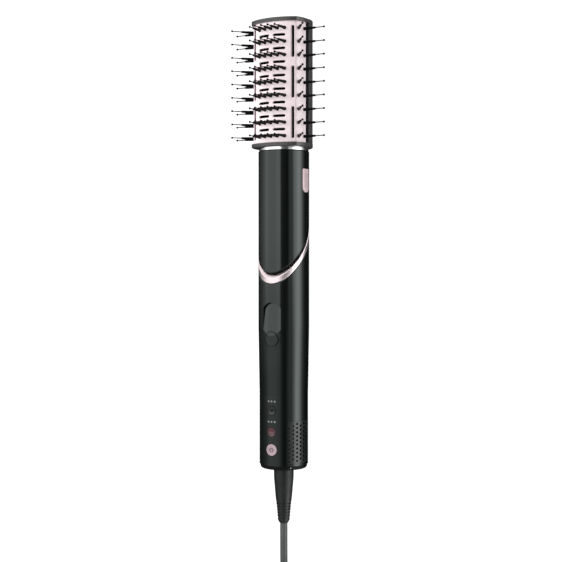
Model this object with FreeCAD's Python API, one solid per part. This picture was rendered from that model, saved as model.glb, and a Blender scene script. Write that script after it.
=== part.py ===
import FreeCAD, Part
import math
import os

from FreeCAD import Vector

os.makedirs("parts", exist_ok=True)

# A hot air brush lying on its back: head towards +Y, bristles up (+Z), cord towards -Y.
# Stations (y) are distances from the handle's lower end, v is the height above the barrel's
# axis and x is the distance to the side. save() moves every piece so that the brush, without
# its cord, has its box centred on the origin. All lengths are millimetres.

# ---------------------------------------------------------------- driving dimensions
BRUSH_LENGTH = 333.0        # handle's lower end to the top of the head
BOOT_END = -42.0            # lower end of the strain relief
BARREL_R = 19.0
HANDLE_R = 18.2             # at the lower end; it swells to the barrel's radius
WALL = 2.0
AXIS_Z = BARREL_R           # the brush rests on its barrel and the back of its head
CENTRE_Y = (BRUSH_LENGTH + BOOT_END) / 2

TAPER_LOW = 55.0            # the handle is HANDLE_R below this station
TAPER_HIGH = 105.0          # and BARREL_R above this one
HOUSING_LOW = 3.2           # the bottom cap fills the space below

SEAM_MID = 163.5            # the slanting joint between handle and barrel, on the axis
SEAM_RISE = 24.0            # how much lower it is at the front, and higher at the back
RING_TALL = 4.8
GROOVE_TALL = 3.2
EDGE = 0.4                  # rounding of the edges along the seam
BARREL_TOP = 236.6

HEAD_LOW = 238.6            # underside of the head's base cap
CAP_THICK = 3.0
HEAD_HIGH = BRUSH_LENGTH
HEAD_WALL = 1.6
HEAD_SEAM_V = 2.8           # the widest level of the head, in the middle of its black band
BAND_LOW, BAND_HIGH = 1.4, 4.2      # the band shows between the light front and the dark back
BACK_HALF_WIDTH = 22.2
BACK_DEPTH = 19.3

ROWS = 9
FIRST_ROW = 246.1
ROW_PITCH = 9.86

CORD_D = 5.6


# ---------------------------------------------------------------- helpers
def at(x, y, v):
    """A point x to the side, at station y, v above the axis."""
    return Vector(x, y, AXIS_Z + v)


def save(node, shape):
    """Writes one piece, moved to the brush's own origin."""
    moved = shape.copy()
    moved.translate(Vector(0, -CENTRE_Y, 0))
    moved.exportStep("parts/" + node + ".step")
    print(f"{node:22s} solids {len(moved.Solids):3d}  volume {moved.Volume:10.1f}  valid {moved.isValid()}")


def rod(radius, y0, y1, x=0.0, v=0.0):
    """A round bar along the brush."""
    return Part.makeCylinder(radius, y1 - y0, at(x, y0, v), Vector(0, 1, 0))


def tube(outer, inner, y0, y1):
    return rod(outer, y0, y1).cut(rod(inner, y0 - 1, y1 + 1))


def post(radius, v0, v1, y, x=0.0):
    """A round bar that points to the front."""
    return Part.makeCylinder(radius, v1 - v0, at(x, y, v0), Vector(0, 0, 1))


def block(x0, x1, y0, y1, v0, v1):
    return Part.makeBox(x1 - x0, y1 - y0, v1 - v0, at(x0, y0, v0))


def turned(profile):
    """Turns a closed outline of (radius, station) points about the axis."""
    points = [at(r, y, 0) for r, y in profile]
    face = Part.Face(Part.makePolygon(points + points[:1]))
    return face.revolve(at(0, 0, 0), Vector(0, 1, 0), 360)


def outline(start, legs, place):
    """A closed face. A leg is an end point, or a middle and an end point of an arc."""
    edges = []
    here = place(*start)
    for leg in legs:
        end = place(*leg[-1]) if isinstance(leg[0], tuple) else place(*leg)
        if isinstance(leg[0], tuple):
            edges.append(Part.Arc(here, place(*leg[0]), end).toShape())
        else:
            edges.append(Part.LineSegment(here, end).toShape())
        here = end
    return Part.Face(Part.Wire(edges))


def mirrored(start, right_legs):
    """The legs of the right half of an outline, and then of its mirror image."""
    stops = [start] + [leg[-1] if isinstance(leg[0], tuple) else leg for leg in right_legs]
    left = []
    for leg, end in zip(reversed(right_legs), reversed(stops[:-1])):
        if isinstance(leg[0], tuple):
            left.append(((-leg[0][0], leg[0][1]), (-end[0], end[1])))
        else:
            left.append((-end[0], end[1]))
    return right_legs + left


def slot(x0, x1, y0, y1, v0, v1):
    """A cutter for a slot with round ends, cut from the front."""
    wide, tall = x1 - x0, y1 - y0
    r = min(wide, tall) / 2
    if wide > tall:
        ends = [(x0 + r, y0 + r), (x1 - r, y0 + r)]
        middle = block(x0 + r, x1 - r, y0, y1, v0, v1)
    else:
        ends = [(x0 + r, y0 + r), (x0 + r, y1 - r)]
        middle = block(x0, x1, y0 + r, y1 - r, v0, v1)
    return middle.fuse([post(r, v0, v1, y, x) for x, y in ends])


def rounded(shape, radius, wanted):
    """Rounds the edges that a test picks out."""
    edges = [e for e in shape.Edges if wanted(e)]
    return shape.makeFillet(radius, edges)


def seam_slab(low, high):
    """The space between two slanting planes, given as distances from the middle of the seam."""
    reach = 40.0
    rise = SEAM_RISE / BARREL_R * reach
    corners = [
        (SEAM_MID + low + rise, -reach),
        (SEAM_MID + low - rise, reach),
        (SEAM_MID + high - rise, reach),
        (SEAM_MID + high + rise, -reach),
    ]
    points = [at(-reach, y, v) for y, v in corners]
    return Part.Face(Part.makePolygon(points + points[:1])).extrude(Vector(2 * reach, 0, 0))


# ---------------------------------------------------------------- controls: where they sit
SMALL_TRAVEL = 0.8
THUMB_TRAVEL = 1.0
LENS_ROWS = (35.9, 51.0)
LENS_PITCH = 2.6
LENS_R = 0.75
SMALL_BUTTONS = {           # node: (station, radius of its cap, how far it stands proud)
    "power_button": (15.2, 4.2, 0.45),
    "heat_button": (28.3, 3.4, 0.15),
    "airflow_button": (44.2, 3.4, 0.15),
}
BUTTON_GAP = 0.25
FLANGE_V = 14.2             # underside of the flange that keeps a small button in
SWITCH_V = 12.2             # top of the switch plungers
BOARD_V = 9.1               # underside of the control board
BOARD_THICK = 1.6

THUMB_Y = 97.0
THUMB_R = 5.3
THUMB_GAP = 0.5
SCOOP_TOP = 123.9
SCOOP_HALF = 7.4
SCOOP_LOW = 80.0            # where its floor runs out through the surface
FLOOR_DROP = 5.0            # the floor is turned about a line this far behind the axis
FLOOR_R = ((SCOOP_LOW, 24.1), (106.0, 23.55), (SCOOP_TOP, 21.9))    # at three stations


def scoop_floor(lift):
    """Everything behind the floor of the thumb scoop, raised by lift: it dips towards the hood."""
    first, middle, last = [(r + lift, y) for y, r in FLOOR_R]
    start = (0, first[1])
    legs = [first, (middle, last), (0, last[1])]
    half = outline(start, legs, lambda r, y: at(r, y, 0))
    solid = half.revolve(at(0, 0, 0), Vector(0, 1, 0), 360)
    solid.translate(Vector(0, 0, -FLOOR_DROP))
    return solid


def scoop_cutter():
    """The thumb scoop: a hood with a round arch, over a curved floor that rises to the surface."""
    arch = outline(
        (-SCOOP_HALF, SCOOP_LOW),
        [(SCOOP_HALF, SCOOP_LOW), (SCOOP_HALF, SCOOP_TOP - 4.4),
         ((0, SCOOP_TOP), (-SCOOP_HALF, SCOOP_TOP - 4.4)), (-SCOOP_HALF, SCOOP_LOW)],
        lambda x, y: at(x, y, 10),
    )
    return arch.extrude(Vector(0, 0, 20)).cut(scoop_floor(0))


# ---------------------------------------------------------------- handle
GRILLE_LOW, GRILLE_HIGH = 4.9, 36.4
GRILLE_HALF_GAP = 39.0      # the grille leaves this angle clear, each side of the front
HOLE_R = 0.92
HOLE_PITCH_Y = 3.04
HOLE_COLUMNS = 27


def back_sector(half_gap_degrees, y0, y1, r0, r1):
    """A tube's wall with a gap at the front."""
    ring = tube(r1, r0, y0, y1)
    side = math.tan(math.radians(half_gap_degrees)) * 30
    wedge = [at(0, y0 - 1, 0), at(side, y0 - 1, 30), at(-side, y0 - 1, 30)]
    gap = Part.Face(Part.makePolygon(wedge + wedge[:1])).extrude(Vector(0, y1 - y0 + 2, 0))
    return ring.cut(gap)


def is_seam_edge(edge):
    """The outer edge of a tube where the slanting joint cuts it."""
    points = edge.discretize(9)
    far = min(math.hypot(p.x, p.z - AXIS_Z) for p in points)
    return far > BARREL_R - 0.01 and max(p.y for p in points) - min(p.y for p in points) > 5


def handle_body(lift=0.0):
    """The handle's solid outline, raised by lift."""
    narrow, broad = HANDLE_R + lift, BARREL_R + lift
    return turned([(0, HOUSING_LOW), (narrow, HOUSING_LOW), (narrow, TAPER_LOW), (broad, TAPER_HIGH),
                   (broad, 200), (0, 200)])


def handle_housing():
    inner = turned([(0, 0), (HANDLE_R - WALL, 0), (HANDLE_R - WALL, TAPER_LOW),
                    (BARREL_R - WALL, TAPER_HIGH), (BARREL_R - WALL, 210), (0, 210)])
    pads = [block(-9, 9, SCOOP_LOW + 2, 106, 14.4, 17.6), block(-9, 9, 106, SCOOP_TOP + 3, 15.3, 17.6)]
    pads = [pad.common(rod(17.6, 0, 200)) for pad in pads]
    shell = handle_body().cut(inner).fuse(pads).common(seam_slab(-400, -RING_TALL / 2))
    shell = rounded(shell, EDGE, is_seam_edge)
    shell = shell.cut(scoop_cutter())
    shell = shell.cut(back_sector(GRILLE_HALF_GAP, GRILLE_LOW, GRILLE_HIGH, 10, 30))
    holes = [post(THUMB_R + THUMB_GAP, 5, 30, THUMB_Y)]
    for y, r, _ in SMALL_BUTTONS.values():
        holes.append(post(r + BUTTON_GAP, 5, 30, y))
    for y in LENS_ROWS:
        holes += [post(LENS_R + 0.05, 5, 30, y, x) for x in (-LENS_PITCH, 0, LENS_PITCH)]
    return shell.cut(holes)


def intake_grille():
    panel = back_sector(GRILLE_HALF_GAP + 0.3, GRILLE_LOW + 0.1, GRILLE_HIGH - 0.1,
                        HANDLE_R - 1.2, HANDLE_R)
    holes = []
    first = GRILLE_HALF_GAP + 2.0
    step = (360 - 2 * first) / (HOLE_COLUMNS - 1)
    for column in range(HOLE_COLUMNS):
        angle = math.radians(first + column * step)
        out = Vector(math.sin(angle), 0, math.cos(angle))
        for k in range(10 - column % 2):
            y = 7.0 + HOLE_PITCH_Y * (k + 0.5 * (column % 2))
            holes.append(Part.makeCylinder(HOLE_R, 8, at(0, y, 0) + out * 13, out))
    return panel.cut(Part.makeCompound(holes))


def filter_mesh():
    return back_sector(GRILLE_HALF_GAP + 0.3, GRILLE_LOW + 0.1, GRILLE_HIGH - 0.1,
                       HANDLE_R - 1.9, HANDLE_R - 1.3)


def bottom_cap():
    """Closes the handle's lower end. A raised rim inside locates it in the housing."""
    cap = turned([(0, 0.0), (17.5, 0.0), (17.5, HOUSING_LOW), (16.1, HOUSING_LOW), (16.1, 4.7),
                  (14.4, 4.7), (14.4, 2.6), (0, 2.6)])
    cap = rounded(cap, 1.8, lambda e: e.BoundBox.YMax < 0.01 and e.BoundBox.XLength > 30)
    screws = [rod(r, y0, y1, x) for x in (-12, 12) for r, y0, y1 in ((1.1, -1, 5), (2.0, -1, 0.9))]
    return cap.cut([rod(SWIVEL_R + 0.06, -1, 5)] + screws)


def cap_screws():
    """Two pan-head screws that hold the bottom cap to the chassis."""
    screws = []
    for x in (-12, 12):
        screw = rod(1.9, 0.05, 0.9, x).fuse(rod(1.05, 0.9, 8.5, x))
        screws.append(screw.cut(rod(0.6, 0, 0.5, x)))
    return Part.makeCompound(screws)


def chassis():
    """The tray inside the handle that carries both circuit boards."""
    tray = tube(15.9, 14.8, 37.0, 107.0).common(block(-20, 20, 30, 110, -20, BOARD_V))
    arms = [block(x - 1.6, x + 1.6, 5.0, 38.0, -2.4, 2.4) for x in (-12.6, 12.6)]
    arms = [arm.common(rod(15.9, 0, 60)) for arm in arms]
    bridge = tube(15.9, 11.0, 37.0, 38.6).common(block(-20, 20, 30, 40, -20, BOARD_V))
    screw_holes = [rod(1.1, 4, 9, x) for x in (-12, 12)]
    return tray.fuse(arms + [bridge]).cut(screw_holes)


# ---------------------------------------------------------------- controls
def small_button(y, radius, proud):
    """A round cap whose face follows the handle, with a flange and a stem under it."""
    cap = post(radius, FLANGE_V + 0.6, 25, y).common(rod(HANDLE_R + proud, 0, 60))
    flange = post(radius + 0.8, FLANGE_V, FLANGE_V + 0.9, y)
    flange = flange.common(rod(HANDLE_R - WALL - 0.15, 0, 60))
    stem = post(1.4, SWITCH_V + SMALL_TRAVEL + 0.1, FLANGE_V, y)
    return cap.fuse([flange, stem])


def power_button():
    y, radius, proud = SMALL_BUTTONS["power_button"]
    button = small_button(y, radius, proud)
    dish = post(radius - 1.0, FLANGE_V, 30, y).cut(rod(HANDLE_R + proud - 0.3, 0, 60))
    return button.cut(dish)


def dark_button(name):
    y, radius, proud = SMALL_BUTTONS[name]
    button = small_button(y, radius, proud)
    dish = Part.makeSphere(14.0, at(0, y, HANDLE_R + proud + 13.6))
    return button.cut(dish)


def thumb_button():
    cap = post(THUMB_R, 13.9, 25, THUMB_Y).common(scoop_floor(0.15)).common(handle_body(0.15))
    flange = post(THUMB_R + 1.2, SWITCH_V + THUMB_TRAVEL + 0.05, 14.2, THUMB_Y)
    return cap.fuse(flange)


def led_lenses():
    """Six clear light pipes, three in each row."""
    lenses = []
    for y in LENS_ROWS:
        for x in (-LENS_PITCH, 0, LENS_PITCH):
            lenses.append(post(LENS_R, 11.6, 25, y, x).common(rod(HANDLE_R, 0, 60)))
    return Part.makeCompound(lenses)


def control_board():
    return block(-11.8, 11.8, 8.0, 106.0, BOARD_V, BOARD_V + BOARD_THICK)


def tact_switches():
    """Four push switches soldered under the buttons."""
    top = BOARD_V + BOARD_THICK
    switches = []
    for y in [b[0] for b in SMALL_BUTTONS.values()] + [THUMB_Y]:
        body = block(-3, 3, y - 3, y + 3, top, top + 1.0)
        switches.append(body.fuse(post(1.6, top + 1.0, SWITCH_V, y)))
    return Part.makeCompound(switches)


def power_board():
    """The board that switches the heater, with its relay, capacitor and heat sink."""
    board = block(-13.0, 13.0, 42.0, 104.0, -5.0, -3.4)
    parts = [block(-10, -1, 46, 60, -3.4, 3.6), rod(4.0, 64, 78, 6, 0.4),
             block(-9, -6, 66, 90, -3.4, 5.0), block(1, 9, 84, 98, -3.4, 1.2)]
    return board.fuse(parts)


# ---------------------------------------------------------------- fan and motor
MOTOR_LOW, MOTOR_HIGH = 123.0, 149.0
MOTOR_R = 9.0
SHAFT_R = 1.0


def fan_housing():
    """The duct around the fan. Its straightening vanes hold the motor's seat."""
    shroud = tube(15.2, 14.1, 109.0, 156.0)
    seat = tube(11.0, 10.1, 124.0, 148.0)
    vanes = []
    for k in range(7):
        vane = block(-0.5, 0.5, 126.0, 146.0, 10.6, 14.6)
        vane.rotate(at(0, 0, 0), Vector(0, 1, 0), k * 360 / 7)
        vanes.append(vane)
    return shroud.fuse([seat] + vanes)


def motor_mount():
    """A rubber sleeve between the motor and its seat."""
    return tube(10.05, MOTOR_R + 0.05, 125.0, 147.0)


def motor_can():
    can = rod(MOTOR_R, MOTOR_LOW, MOTOR_HIGH).cut(rod(8.2, MOTOR_LOW + 1.2, MOTOR_HIGH - 1.2))
    bosses = [rod(3.4, MOTOR_LOW, MOTOR_LOW + 2.6), rod(3.4, MOTOR_HIGH - 2.6, MOTOR_HIGH)]
    seats = [rod(2.55, MOTOR_LOW + 0.6, MOTOR_LOW + 2.7), rod(2.55, MOTOR_HIGH - 2.7, MOTOR_HIGH - 0.6),
             rod(1.4, MOTOR_LOW - 1, MOTOR_HIGH + 1)]
    return can.fuse(bosses).cut(seats)


def motor_bearings():
    low = tube(2.5, SHAFT_R + 0.03, MOTOR_LOW + 0.6, MOTOR_LOW + 2.5)
    high = tube(2.5, SHAFT_R + 0.03, MOTOR_HIGH - 2.5, MOTOR_HIGH - 0.6)
    return Part.makeCompound([low, high])


def motor_stator():
    """The wound ring inside the can, with six poles."""
    ring = tube(8.15, 6.9, MOTOR_LOW + 4, MOTOR_HIGH - 4)
    poles = []
    for k in range(6):
        pole = block(-1.5, 1.5, MOTOR_LOW + 4, MOTOR_HIGH - 4, 4.7, 7.4)
        pole.rotate(at(0, 0, 0), Vector(0, 1, 0), k * 60)
        poles.append(pole)
    return ring.fuse(poles)


def rotor_magnet():
    return tube(4.1, SHAFT_R + 0.02, MOTOR_LOW + 5, MOTOR_HIGH - 5)


def motor_shaft():
    return rod(SHAFT_R, 111.5, MOTOR_HIGH + 1.0)


def impeller():
    """A mixed-flow fan pressed on the shaft's lower end."""
    hub = turned([(0, 111.0), (3.0, 111.0), (6.0, 114.0), (8.4, 121.0), (0, 121.0)])
    blades = []
    for k in range(9):
        blade = block(-0.4, 0.4, 112.5, 120.5, 3.5, 15.0)
        blade.rotate(at(0, 116.5, 0), Vector(0, 0, 1), 35)
        blade.rotate(at(0, 0, 0), Vector(0, 1, 0), k * 40)
        blades.append(blade)
    wheel = hub.fuse(blades).common(rod(13.7, 110.0, 121.5))
    return wheel.cut(rod(SHAFT_R + 0.02, 100, 130))


# ---------------------------------------------------------------- seam, barrel and heater
def trim_ring():
    ring = tube(BARREL_R, BARREL_R - 1.9, 100, 230)
    ring = ring.common(seam_slab(-RING_TALL / 2 + 0.03, RING_TALL / 2))
    return rounded(ring, EDGE, is_seam_edge)


def coupling_sleeve():
    """The dark sleeve that joins handle and barrel; it shows in the groove over the ring."""
    return tube(16.95, 15.4, 128.0, 204.0)


def barrel_tube():
    shell = tube(BARREL_R, BARREL_R - WALL, 100, BARREL_TOP)
    shell = shell.common(seam_slab(RING_TALL / 2 + GROOVE_TALL, 400))
    shell = rounded(shell, EDGE, is_seam_edge)
    shell = rounded(shell, 1.1, lambda e: e.BoundBox.YMin > BARREL_TOP - 0.01 and e.BoundBox.XLength > 37)
    return shell.cut(badge_prism(0.08).cut(rod(18.4, 150, 240)))


def badge_prism(grow):
    """The badge's outline, cut towards +X: square above with small corners, round below."""
    half, low, high = 4.3 + grow, 205.4 - grow, 222.8 + grow
    small, large = 1.0, 3.6
    s, t = small * (1 - math.sqrt(0.5)), large * (1 - math.sqrt(0.5))
    legs = [
        (high - small, half),
        ((high - s, half - s), (high, half - small)),
        (high, -half + small),
        ((high - s, -half + s), (high - small, -half)),
        (low + large, -half),
        ((low + t, -half + t), (low, -half + large)),
        (low, half - large),
        ((low + t, half - t), (low + large, half)),
    ]
    face = outline((low + large, half), legs, lambda y, v: at(10, y, v))
    return face.extrude(Vector(15, 0, 0))


def badge():
    return badge_prism(0).common(tube(BARREL_R + 0.25, 18.4, 200, 230))


def heater_sleeve():
    """A thin mica tube that keeps the heat off the barrel."""
    return tube(15.0, 14.5, 172.0, 228.0)


def heater_frame():
    """Two crossed mica boards, slotted into each other."""
    flat = block(-13.9, 13.9, 174.0, 224.0, -0.4, 0.4)
    upright = block(-0.4, 0.4, 174.0, 224.0, -13.9, 13.9)
    cross = flat.fuse(upright)
    window = tube(20, 11.2, 177.0, 221.0)
    return cross.cut(window)


def heater_coil():
    """The heating wire: turns side by side round the crossed boards, with thinner links."""
    wire_r, link_r, coil_r, pitch, turns = 0.45, 0.3, 12.0, 5.0, 9
    first = 179.0
    rings = [Part.makeTorus(coil_r, wire_r, at(0, first + pitch * k, 0), Vector(0, 1, 0))
             for k in range(turns)]
    diagonal = coil_r * math.sqrt(0.5)
    links = [rod(link_r, first + pitch * k, first + pitch * (k + 1), diagonal, diagonal)
             for k in range(turns - 1)]
    return rings[0].fuse(rings[1:] + links)


def thermostat():
    """A round bimetal switch on the end of the heater frame."""
    return rod(4.5, 224.0, 227.5).fuse(rod(2.6, 227.5, 229.5))


def thermal_fuse():
    return rod(1.5, 186.0, 197.0, 4.6, 2.0).fuse(rod(0.4, 178.0, 205.0, 4.6, 2.0))


def neck_ring():
    """The bright ring under the head, with a spigot into the barrel and one into the head."""
    return turned([(15.4, 228.5), (16.9, 228.5), (16.9, BARREL_TOP), (18.5, BARREL_TOP),
                   (18.5, HEAD_LOW), (16.0, HEAD_LOW), (16.0, 244.0), (14.6, 244.0),
                   (14.6, 236.0), (15.4, 235.0)])


# ---------------------------------------------------------------- head
def front_solid(apex, seam, edge, bow, y0, y1, v0=HEAD_SEAM_V):
    """The front half of the head: a crowned face, then sides that turn down to (edge, v0)."""
    radius = (seam[0] ** 2 + (apex - seam[1]) ** 2) / (2 * (apex - seam[1]))
    half = seam[0] / 2
    crown = (half, apex - radius + math.sqrt(radius ** 2 - half ** 2))
    legs = [(crown, seam), (bow, (edge, v0)), (0, v0)]
    face = outline((0, apex), mirrored((0, apex), legs), lambda x, v: at(x, y0, v))
    return face.extrude(Vector(0, y1 - y0, 0))


def back_solid(half_width, depth, y0, y1, v1=HEAD_SEAM_V):
    """The back half of the head: half an ellipse with a flat along its lowest line."""
    ellipse = Part.Ellipse(at(half_width, y0, 0), at(0, y0, -depth), at(0, y0, 0))
    face = Part.Face(Part.Wire(ellipse.toShape()))
    prism = face.extrude(Vector(0, y1 - y0, 0))
    return prism.common(block(-30, 30, y0 - 1, y1 + 1, -BARREL_R, v1))


SHELL_LOW = HEAD_LOW + CAP_THICK
SHELL_HIGH = HEAD_HIGH - CAP_THICK
FRONT_V0 = BAND_HIGH
FRONT_SEAM = (18.0, 13.7)
OUTER = dict(apex=19.2, seam=FRONT_SEAM, edge=21.0, bow=(20.3, 8.9))
INNER = dict(apex=17.6, seam=(16.9, 12.4), edge=19.4, bow=(18.7, 8.3))
CAP_HALF_WIDTH = 22.4
CAP_EDGE = CAP_HALF_WIDTH * math.sqrt(1 - (HEAD_SEAM_V / BACK_DEPTH) ** 2)
CAP = dict(apex=20.4, seam=(19.2, 14.8), edge=CAP_EDGE, bow=(21.45, 9.2))
LIP = dict(apex=17.45, seam=(16.7, 12.2), edge=19.2, bow=(18.5, 8.2))
ROW_STATIONS = [FIRST_ROW + ROW_PITCH * k for k in range(ROWS)]

# Each bristle of a row: where it comes through the shell (x, v), the angle it leans to the
# side, its length outside, and how far its root reaches inside.
BRISTLES = [
    (0.0, 19.2, 0.0, 14.9, 5.5),
    (5.25, 18.75, 0.0, 14.9, 6.1),
    (10.5, 17.4, 0.0, 15.0, 4.6),
    (19.5, 11.8, 38.0, 17.6, 3.6),
    (20.7, 6.2, 90.0, 17.3, 4.4),
]
BRISTLES += [(-x, v, -angle, out, deep) for x, v, angle, out, deep in BRISTLES[1:]]
BASE_LONG = 9.0             # the thick, tapering lower part of a bristle
BASE_R = 1.15
PIN_R = 0.4
TIP_R = 0.8


def front_shell():
    """The whole light front as one shell, before it is divided at its seams."""
    shell = front_solid(y0=SHELL_LOW, y1=SHELL_HIGH, v0=FRONT_V0, **OUTER)
    shell = shell.cut(front_solid(y0=SHELL_LOW - 1, y1=SHELL_HIGH + 1, v0=FRONT_V0 - 2, **INNER))
    holes = []
    for y in ROW_STATIONS:
        for x, v, angle, _, _ in BRISTLES:
            out = Vector(math.sin(math.radians(angle)), 0, math.cos(math.radians(angle)))
            holes.append(Part.makeCylinder(BASE_R + 0.2, 8, at(x, y, v) - out * 5, out))
    return shell.cut(Part.makeCompound(holes))


def front_plate(shell):
    """The heated face: two short air slots between rows, three long ones down each side."""
    half = FRONT_SEAM[0] - 0.12
    plate = shell.common(block(-half, half, 230, 340, 11.5, 25))
    cuts = []
    for y in ROW_STATIONS[:-1]:
        middle = y + ROW_PITCH / 2
        for x0, x1 in ((-11.1, -1.5), (1.5, 11.1)):
            cuts.append(slot(x0, x1, middle - 1.0, middle + 1.0, 12, 25))
    for first in (0, 3, 6):
        y0, y1 = ROW_STATIONS[first] - 1.9, ROW_STATIONS[first + 2] + 1.9
        for x in (-15.9, 15.9):
            cuts.append(slot(x - 1.15, x + 1.15, y0, y1, 10, 25))
    return plate.cut(cuts)


def side_panel(shell, side):
    x0, x1 = sorted((side * (FRONT_SEAM[0] + 0.12), side * 30))
    return shell.common(block(x0, x1, 230, 340, 0, 25))


def back_shell():
    shell = back_solid(BACK_HALF_WIDTH, BACK_DEPTH, SHELL_LOW, SHELL_HIGH, BAND_LOW)
    return shell.cut(back_solid(BACK_HALF_WIDTH - HEAD_WALL, BACK_DEPTH - HEAD_WALL - 0.3,
                                SHELL_LOW - 1, SHELL_HIGH + 1, HEAD_SEAM_V + 1))


def head_liner():
    """The black frame that the shells and the bristle rows clip to; its rim shows between them."""
    low, high = SHELL_LOW + 2.5, SHELL_HIGH - 2.5
    floor = block(-18.6, 18.6, low, high, 0.6, 2.2)
    rails = [block(x - 0.8, x + 0.8, low, high, 0.6, BAND_HIGH) for x in (-18.4, 18.4)]
    rails += [block(x - 0.8, x + 0.8, low, high, BAND_LOW + 0.1, BAND_HIGH - 0.1) for x in (-19.9, 19.9)]
    vents = [slot(-12, 12, y - 2.0, y + 2.0, 0, 5) for y in ROW_STATIONS[1::2]]
    return floor.fuse(rails).cut(vents)


def end_cap(y0, y1, lip0, lip1):
    """One of the two end caps: a plate that overhangs the shells, with a locating lip."""
    plate = front_solid(y0=y0, y1=y1, **CAP)
    plate = plate.fuse(back_solid(CAP_HALF_WIDTH, BACK_DEPTH, y0, y1)).removeSplitter()
    outer_y = y0 if lip0 >= y1 - 0.01 else y1
    plate = rounded(plate, 0.8, lambda e: abs(e.BoundBox.YMin - outer_y) < 0.01
                    and e.BoundBox.YLength < 0.01)
    lip = front_solid(y0=lip0, y1=lip1, **LIP)
    lip = lip.fuse(back_solid(BACK_HALF_WIDTH - HEAD_WALL - 0.15, BACK_DEPTH - HEAD_WALL - 0.5, lip0, lip1))
    lip = lip.cut(front_solid(y0=lip0 - 1, y1=lip1 + 1, apex=16.2, seam=(15.6, 11.2), edge=17.9,
                              bow=(17.3, 7.6)))
    lip = lip.cut(back_solid(BACK_HALF_WIDTH - HEAD_WALL - 1.4, BACK_DEPTH - HEAD_WALL - 1.8,
                             lip0 - 1, lip1 + 1))
    return plate.fuse(lip)


def head_base_cap():
    return end_cap(HEAD_LOW, SHELL_LOW, SHELL_LOW, SHELL_LOW + 2.0).cut(rod(16.05, 230, 250))


def head_top_cap():
    return end_cap(SHELL_HIGH, HEAD_HIGH, SHELL_HIGH - 2.0, SHELL_HIGH)


def bristle(x, v, angle, out_long, deep):
    """One bristle: root, tapering base, thin pin and a ball tip, moulded in one."""
    points = [(0, -deep), (BASE_R, -deep), (BASE_R, 0), (0.8, BASE_LONG), (PIN_R, BASE_LONG + 0.8),
              (PIN_R * 0.8, out_long - TIP_R), (0, out_long - TIP_R)]
    corners = [Vector(r, 0, z) for r, z in points]
    body = Part.Face(Part.makePolygon(corners + corners[:1])).revolve(Vector(0, 0, 0), Vector(0, 0, 1), 360)
    whole = body.fuse(Part.makeSphere(TIP_R, Vector(0, 0, out_long - TIP_R)))
    whole.rotate(Vector(0, 0, 0), Vector(0, 1, 0), angle)
    whole.translate(at(x, 0, v))
    return whole


def bristle_row():
    """A row of bristles on the cross rib that they are moulded with, at station 0."""
    top = block(-16.2, 16.2, -1.5, 1.5, 10.6, 12.0).fuse(block(-12.5, 12.5, -1.5, 1.5, 11.8, 14.6))
    top = top.cut(block(-8.6, -2.0, -2, 2, 13.2, 16)).cut(block(2.0, 8.6, -2, 2, 13.2, 16))
    legs = [block(x - 0.8, x + 0.8, -1.5, 1.5, 4.4, 11.4) for x in (-16.4, 16.4)]
    corners = [block(x - 0.9, x + 0.9, -1.5, 1.5, 8.4, 10.2) for x in (-16.9, 16.9)]
    return top.fuse(legs + corners + [bristle(*b) for b in BRISTLES])


# ---------------------------------------------------------------- cord, its swivel and its plug
SWIVEL_R = 6.6
COLLAR_R = 7.6
CORD_R = CORD_D / 2


def swivel_collar():
    """The turning neck of the strain relief: a bobbin held in the bottom cap."""
    return turned([(3.4, -1.9), (COLLAR_R, -1.9), (COLLAR_R, -0.15), (SWIVEL_R, -0.15), (SWIVEL_R, 2.8),
                   (8.8, 2.8), (8.8, 4.6), (3.4, 4.6)])


def cord_boot():
    """The tapering rubber strain relief, with ribs near its end."""
    boot = turned([(3.0, -1.95), (7.5, -1.95), (7.4, -8.0), (6.2, -22.0), (5.3, -30.0), (4.6, -38.0),
                   (4.3, -40.0), (3.5, -41.5), (3.0, BOOT_END)])
    ribs = [turned([(4.3 + 0.12 * k, y - 0.5), (9, y - 0.5), (9, y + 0.5), (4.3 + 0.12 * k, y + 0.5)])
            for k, y in enumerate((-37.6, -35.4, -33.2, -31.0, -28.8, -26.6))]
    return boot.cut(ribs)


def cord_inner():
    """The straight start of the cord, through the boot and the swivel to its clamp."""
    return rod(CORD_R, BOOT_END, 15.0)


def cord_clamp():
    """The saddle on the chassis that takes the pull of the cord."""
    saddle = block(-10.95, 10.95, 8.5, 13.5, -5.6, 5.6)
    return saddle.cut(rod(CORD_R + 0.03, 5, 20))


# Points of the cord between the boot and the hank: x, station, height over the table.
CORD_ROUTE = [
    (0.0, BOOT_END, AXIS_Z),
    (0.0, -62.0, AXIS_Z),
    (-3.2, -84.0, 13.0),
    (-8.2, -104.0, 5.8),
    (-11.0, -121.0, 2.8),
    (-11.0, -136.0, 2.8),
]
# The tail, from the hank to the plug.
TAIL_ROUTE = [
    (-16.6, -243.0, 2.8),
    (-16.6, -256.0, 2.8),
    (-13.4, -269.0, 4.6),
    (-9.2, -282.0, 7.3),
    (-6.6, -295.0, 8.5),
    (-6.6, -307.0, 8.5),
]
HANK_X = 8.0
HANK_NEAR = CORD_ROUTE[-1][1]
HANK_FAR = TAIL_ROUTE[0][1]
HANK_HIGH = 28.2
HANK_HALF = 27.5
HANK_CORNER = 5.0
WAIST_HALF = 19.5
WAIST_LONG = 16.0
TIE_THICK = 1.2
TIE_LONG = 9.0
HANK_MIDDLE = (HANK_NEAR + HANK_FAR) / 2
# The plug hangs on behind the end of the tail.
PLUG_X, PLUG_Y, PLUG_Z = TAIL_ROUTE[-1]
RELIEF_LONG = 22.0
RELIEF_R = (3.6, 6.2)
PLUG_WIDE, PLUG_LONG, PLUG_HIGH = 25.0, 30.0, 17.0
BLADE_LONG, BLADE_THICK = 17.5, 1.5
BLADES = ((-6.35, 3.15), (6.35, 3.95))
BLADE_HOLE_R, BLADE_HOLE_IN = 1.6, 12.0


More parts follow.
